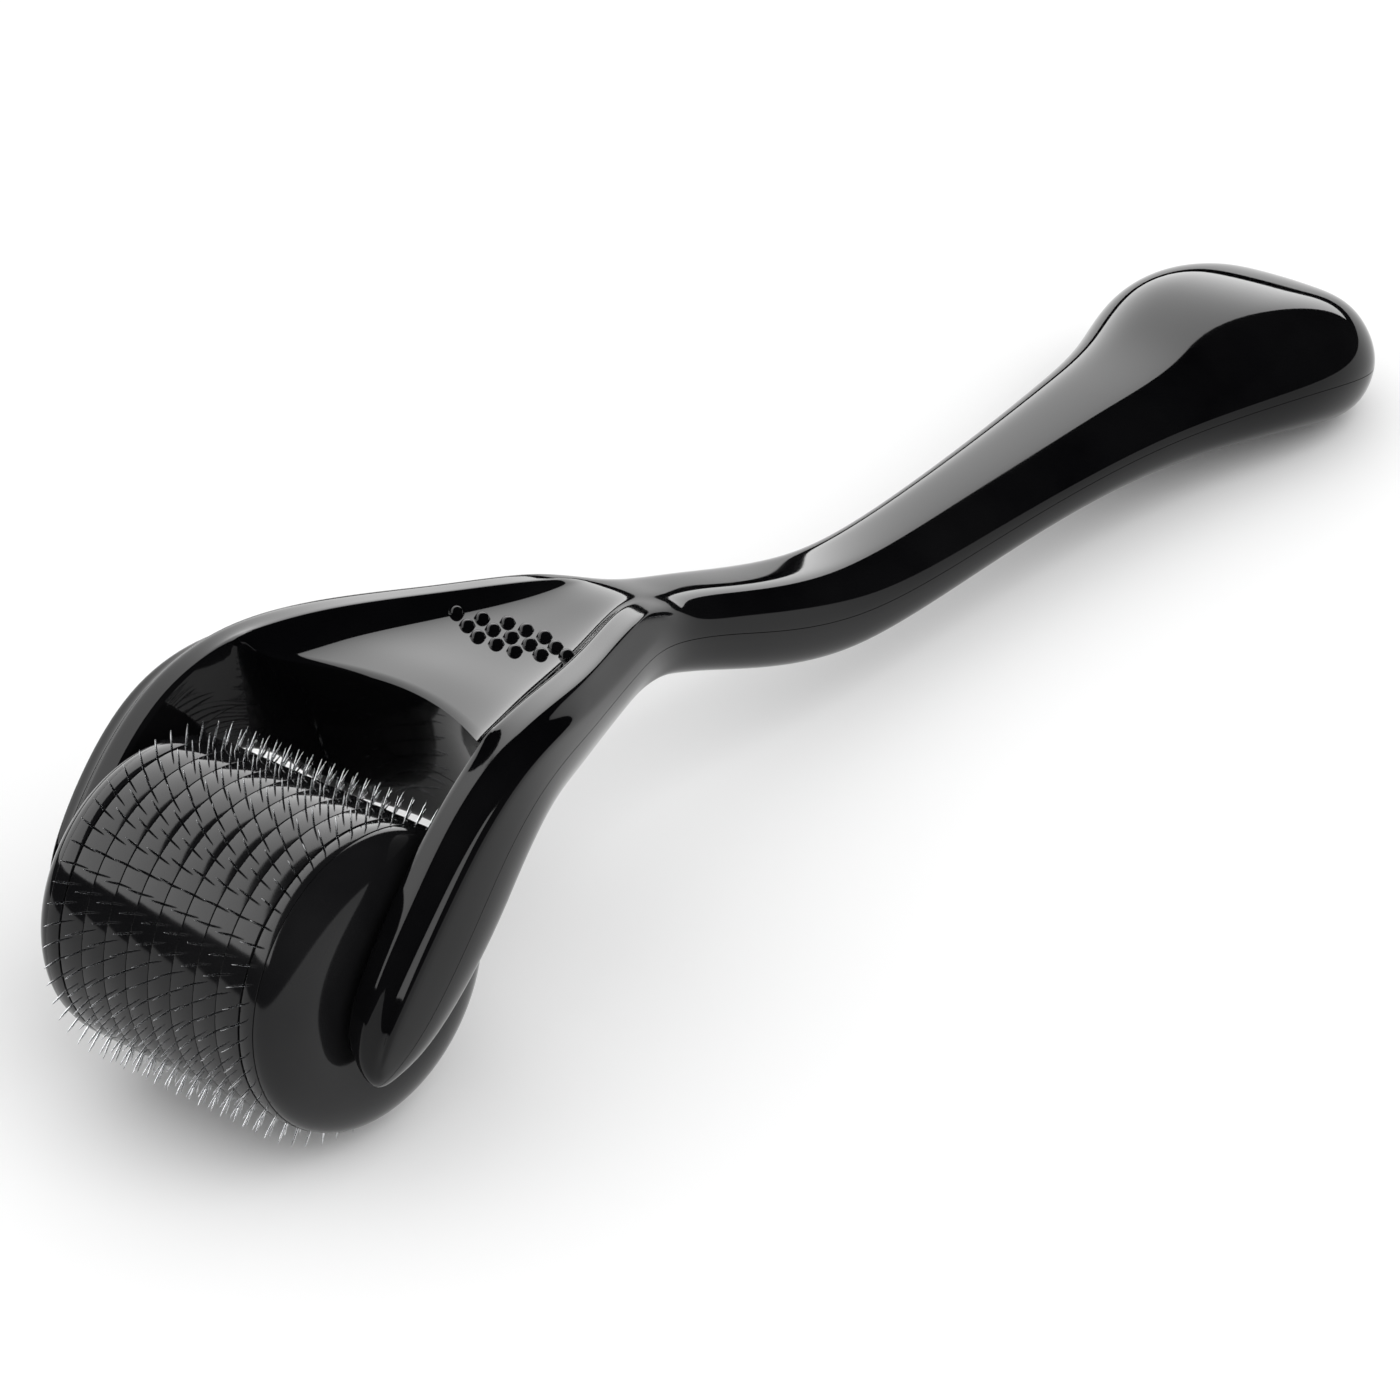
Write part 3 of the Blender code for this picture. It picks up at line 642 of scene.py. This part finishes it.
def cap_profile(side, inner_x):
    """An end cap's half section: the dome, the flat face with a blend into the hub, and the bore."""
    profile = [(CAP_HUB_RADIUS, inner_x)]
    arc_height = CAP_RADIUS - CAP_FACE_RADIUS
    arc_width = CAP_FACE_X - inner_x
    for i in range(CAP_ARC_STEPS + 1):
        angle = math.pi / 2 * i / CAP_ARC_STEPS
        radius = CAP_FACE_RADIUS + arc_height * math.cos(angle)
        profile.append((radius, inner_x + arc_width * math.sin(angle)))
    for i in range(HUB_BLEND_STEPS + 1):
        angle = math.pi / 2 * i / HUB_BLEND_STEPS
        radius = CAP_HUB_RADIUS + HUB_BLEND * (1 - math.sin(angle))
        profile.append((radius, CAP_FACE_X + HUB_BLEND * (1 - math.cos(angle))))
    profile.append((CAP_HUB_RADIUS, CAP_HUB_X))
    profile.append((CAP_HUB_RADIUS - CAP_HUB_WALL, CAP_HUB_X))
    profile.append((CAP_HUB_RADIUS - CAP_HUB_WALL, inner_x))
    return [(radius, side * x) for radius, x in profile]


def add_needle(form, centre_x, angle, chance):
    """One tapering needle that stands nearly square on the drum."""
    lean = math.radians(chance.uniform(-NEEDLE_LEAN, NEEDLE_LEAN))
    sway = math.radians(chance.uniform(-NEEDLE_SWAY, NEEDLE_SWAY))
    radial = Vector((0.0, math.cos(angle), math.sin(angle)))
    tangent = Vector((0.0, -math.sin(angle), math.cos(angle)))
    root = AXIS + AXIAL * centre_x + radial * DRUM_RADIUS
    along = (radial + tangent * math.tan(lean) + AXIAL * math.tan(sway)).normalized()
    rings = []
    for share, size in NEEDLE_STATIONS:
        centre = root + along * share * NEEDLE_LENGTH
        rings.append([
            form.verts.new(
                centre + tangent * forward * NEEDLE_ROUND * size + AXIAL * sideways * NEEDLE_ALONG * size
            )
            for forward, sideways in circle_points(1.0, NEEDLE_SIDES)
        ])
    tip = form.verts.new(root + along * NEEDLE_LENGTH * NEEDLE_TIP)
    for lower, upper in zip(rings, rings[1:]):
        add_band(form, lower, upper)
    add_fan(form, rings[-1], tip)
    form.faces.new(list(reversed(rings[0])))


def needle_disc(name, centre_x, seed, material):
    """One stamped disc: a thin steel ring below the drum's surface and its needles."""
    chance = random.Random(seed)
    form = bmesh.new()
    low_x = centre_x - DISC_HALF_THICKNESS
    high_x = centre_x + DISC_HALF_THICKNESS
    section = [(DISC_RIM, low_x), (DISC_RIM, high_x), (DISC_BORE, high_x), (DISC_BORE, low_x)]
    add_turned(form, section, DISC_SEGMENTS)
    for i in range(NEEDLES_PER_DISC):
        add_needle(form, centre_x, 2 * math.pi * (i + 0.5) / NEEDLES_PER_DISC, chance)
    bmesh.ops.recalc_face_normals(form, faces=form.faces)
    return object_from_bmesh(name, form, material, NEEDLE_SHARP_ANGLE)


# ---------------------------------------------------------------- stage

def add_camera():
    """A long lens in front of the drum and above it, to the right, looking along the handle."""
    ahead, aside = math.cos(CAMERA_AZIMUTH), math.sin(CAMERA_AZIMUTH)
    level = math.cos(CAMERA_ELEVATION)
    right = Vector((ahead, aside, 0.0))
    back = Vector((aside * level, -ahead * level, math.sin(CAMERA_ELEVATION)))
    down = (-back).cross(right)
    view = Matrix((right, down, -back)) @ Matrix.Rotation(CAMERA_PITCH, 3, "X")
    place = AXIS - view.transposed() @ CAMERA_OFFSET
    camera = bpy.data.objects.new("camera", bpy.data.cameras.new("camera"))
    bpy.context.scene.collection.objects.link(camera)
    axes = Matrix((view[0], -view[1], -view[2])).transposed()
    camera.matrix_world = Matrix.Translation(place) @ axes.to_4x4()
    camera.data.sensor_width = SENSOR_WIDTH
    camera.data.lens = FOCAL_LENGTH
    camera.data.clip_start, camera.data.clip_end = CAMERA_CLIP
    bpy.context.scene.camera = camera


def add_panel(name, centre, size, radiance):
    """A rectangular light that faces down, as bright all over as its radiance says."""
    light = bpy.data.lights.new(name, "AREA")
    light.shape = "RECTANGLE"
    light.size, light.size_y = size
    light.energy = radiance * math.pi * light.size * light.size_y
    item = bpy.data.objects.new(name, light)
    item.location = centre
    bpy.context.scene.collection.objects.link(item)
    return item


def add_stage():
    """A pale floor, an even sky that isn't reflected, a long softbox on the left that is only
    reflected, and a soft fill from the right that isn't reflected.
    """
    world = bpy.data.worlds.new("studio")
    bpy.context.scene.world = world
    world.use_nodes = True
    sky = world.node_tree.nodes["Background"]
    sky.inputs["Color"].default_value = (1.0, 1.0, 1.0, 1.0)
    sky.inputs["Strength"].default_value = SKY_STRENGTH
    world.cycles_visibility.glossy = False
    form = bmesh.new()
    bmesh.ops.create_grid(form, x_segments=4, y_segments=4, size=FLOOR_HALF_WIDTH)
    floor = object_from_bmesh("floor", form, pale_floor("pale_floor"))
    softbox = add_panel("softbox_left", SOFTBOX_CENTRE, SOFTBOX_SIZE, SOFTBOX_RADIANCE)
    softbox.visible_diffuse = False
    fill = add_panel("fill_right", FILL_CENTRE, FILL_SIZE, FILL_RADIANCE)
    fill.rotation_euler = (0.0, FILL_TURN, 0.0)
    fill.visible_glossy = False
    bpy.context.scene.view_settings.view_transform = "Standard"


# ---------------------------------------------------------------- build

def stand_for(piece, body, node):
    """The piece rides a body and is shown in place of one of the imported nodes."""
    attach(piece, body)
    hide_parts(node)


def add_handle(plastic):
    body = smooth_body()
    surface = bpy.data.objects.new("body_surface", body)
    bpy.context.scene.collection.objects.link(surface)
    bpy.context.view_layer.update()
    bumps = bump_piece(surface, plastic)
    bpy.data.objects.remove(surface)
    top_shell = shell_from_body("shell_top", body, TOP, plastic)
    bottom_shell = shell_from_body("shell_bottom", body, BOTTOM, plastic)
    stand_for(top_shell, "handle", "handle_top_shell")
    stand_for(bumps, "handle", "handle_top_shell")
    stand_for(bottom_shell, "handle", "handle_bottom_shell")


def add_discs(steel):
    for i in range(NEEDLE_DISCS):
        x = (i - (NEEDLE_DISCS - 1) / 2) * DISC_PITCH
        disc = needle_disc(f"steel_disc_{i + 1}", x, i + FIRST_NEEDLE_SEED, steel)
        stand_for(disc, "drum", f"needle_disc_{i + 1}")


def add_spacers(plastic):
    for i in range(NEEDLE_DISCS - 1):
        x = (i - (NEEDLE_DISCS - 2) / 2) * DISC_PITCH
        spacer = turned_piece(f"spacer_{i + 1}", ring_profile(x - SPACER_HALF, x + SPACER_HALF), plastic)
        stand_for(spacer, "drum", f"spacer_ring_{i + 1}")


def add_ends(plastic):
    for side, label in ((-1, "left"), (1, "right")):
        low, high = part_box("end_ring_" + label)
        ring = turned_piece("rim_" + label, ring_profile(low.x, high.x), plastic)
        stand_for(ring, "drum", "end_ring_" + label)
        low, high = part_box("end_cap_" + label)
        inner_x = min(abs(low.x), abs(high.x))
        cap = turned_piece("cap_" + label, cap_profile(side, inner_x), plastic)
        stand_for(cap, "drum", "end_cap_" + label)


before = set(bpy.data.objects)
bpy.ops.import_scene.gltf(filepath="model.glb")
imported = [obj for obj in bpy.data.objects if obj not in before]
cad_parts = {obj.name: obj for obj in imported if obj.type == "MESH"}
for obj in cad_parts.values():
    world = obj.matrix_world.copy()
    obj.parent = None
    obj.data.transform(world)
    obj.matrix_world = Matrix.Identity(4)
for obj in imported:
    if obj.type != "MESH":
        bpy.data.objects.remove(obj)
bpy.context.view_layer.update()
add_camera()
add_stage()

handle_plastic = glossy_plastic(
    "gloss_black_shell", dark=(0.0015, 0.0015, 0.0018), light=(0.0035, 0.0035, 0.0038),
    smooth=0.04, worn=0.09, gloss_index=1.28,
)
drum_plastic = glossy_plastic(
    "gloss_black_drum", dark=(0.004, 0.004, 0.0045), light=(0.008, 0.008, 0.0085),
    smooth=0.07, worn=0.13, gloss_index=1.33,
)

add_handle(handle_plastic)
add_discs(needle_steel("needle_steel"))
add_spacers(drum_plastic)
add_ends(drum_plastic)

# Only the ends of the arbor's journals can be seen, beside the caps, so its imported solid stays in
# view and takes the drum's plastic.
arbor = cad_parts["drum_arbor"]
arbor.data.materials.clear()
arbor.data.materials.append(drum_plastic)
